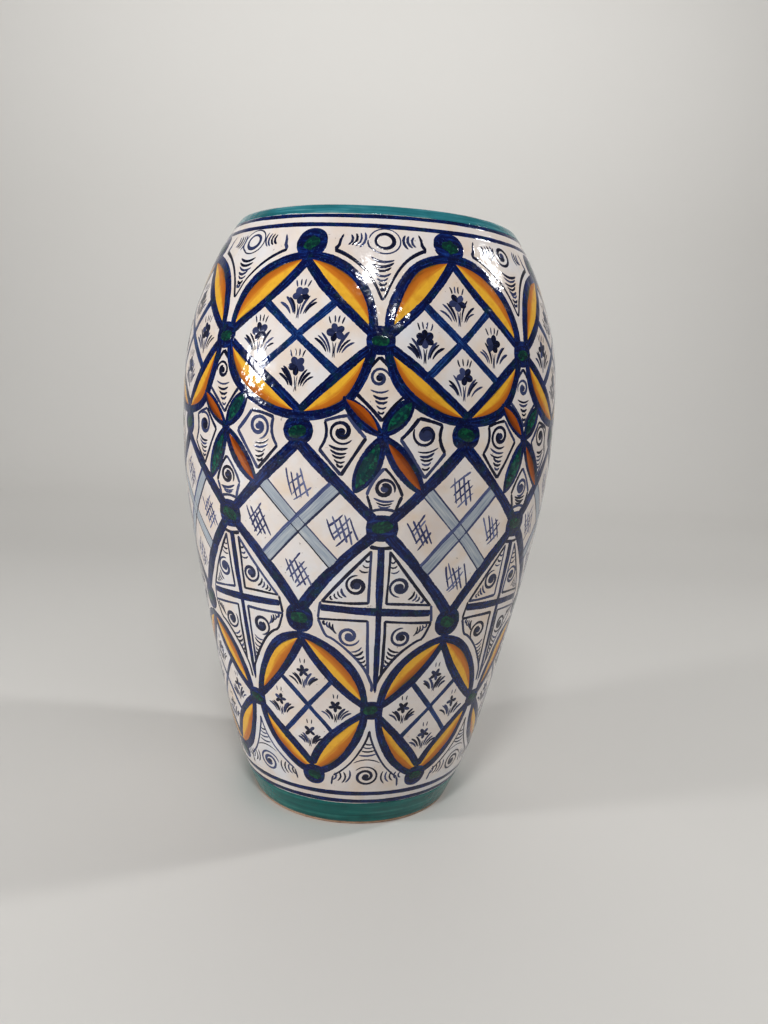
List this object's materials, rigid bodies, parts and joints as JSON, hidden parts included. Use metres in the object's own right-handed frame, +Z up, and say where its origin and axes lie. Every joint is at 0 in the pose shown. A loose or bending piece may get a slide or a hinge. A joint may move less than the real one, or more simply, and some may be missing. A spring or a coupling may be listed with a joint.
{
  "type": "glazed pottery vase",
  "caption": "Barrel-shaped tin-glazed earthenware vase with a wide inturned mouth, a trimmed foot ring, painted panels of diamonds, circles and flowers, and green bands at the lip and foot.",
  "frame": {"origin": "centre of the foot, on the surface the vase stands on", "axes": "+Z up along the pot's axis; +Y away from the viewer, +X to the viewer's right"},
  "size_m": [0.1938, 0.1938, 0.3],
  "materials": {
    "bare_clay": "fired, unglazed, matt",
    "white_glaze": "glossy tin glaze",
    "green_glaze": "glossy copper green",
    "cobalt_paint": "glossy cobalt blue",
    "black_line_paint": "glossy blue-black line work",
    "amber_paint": "glossy amber yellow",
    "orange_paint": "glossy orange",
    "rust_paint": "glossy rust brown",
    "leaf_green_paint": "glossy dark green",
    "pale_blue_wash": "glossy thin blue wash"
  },
  "bodies": {
    "root": {"clay_body": "bare_clay", "outer_white_glaze": "white_glaze", "inner_white_glaze": "white_glaze", "rim_white_line": "white_glaze", "foot_white_line": "white_glaze", "rim_green_glaze": "green_glaze", "foot_green_glaze": "green_glaze", "rim_blue_line": "cobalt_paint", "shoulder_blue_line": "cobalt_paint", "foot_upper_blue_line": "cobalt_paint", "foot_lower_blue_line": "cobalt_paint"}
  },
  "joints": []
}
